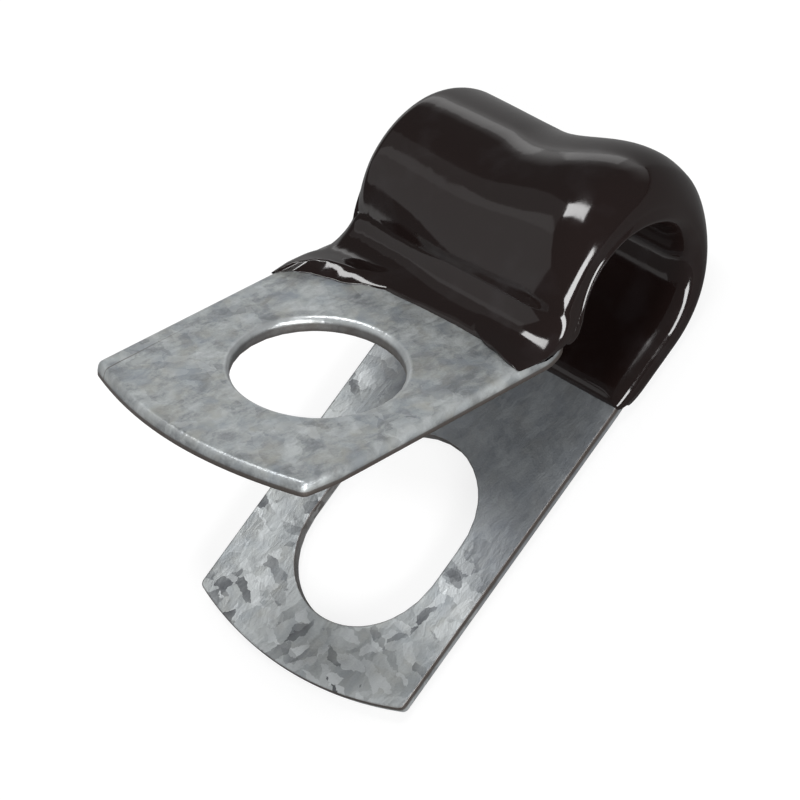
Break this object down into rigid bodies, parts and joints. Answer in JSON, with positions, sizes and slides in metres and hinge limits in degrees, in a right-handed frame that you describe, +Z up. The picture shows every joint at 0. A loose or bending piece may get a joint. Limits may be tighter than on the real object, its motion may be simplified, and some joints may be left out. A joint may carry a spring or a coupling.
{
  "type": "dipped loop pipe clamp",
  "caption": "Open P-shaped clamp folded from one galvanised steel strip, with a black vinyl-dipped loop for a small pipe, a round hole in one flange and a slot in the mounting leg.",
  "frame": {"origin": "centre of the coated loop's bore, at the middle of the strap's width", "axes": "+X from the flanges towards the loop, along the mounting leg; +Y along the pipe; +Z up from the mounting leg, whose outer face looks down"},
  "size_m": [0.0338, 0.0164, 0.0208],
  "materials": {
    "galvanised_steel": "hot-dip zinc with a spangle",
    "black_vinyl": "glossy dipped plastisol"
  },
  "bodies": {
    "root": {"steel_strap": "galvanised_steel", "vinyl_coating": "black_vinyl"}
  },
  "joints": []
}
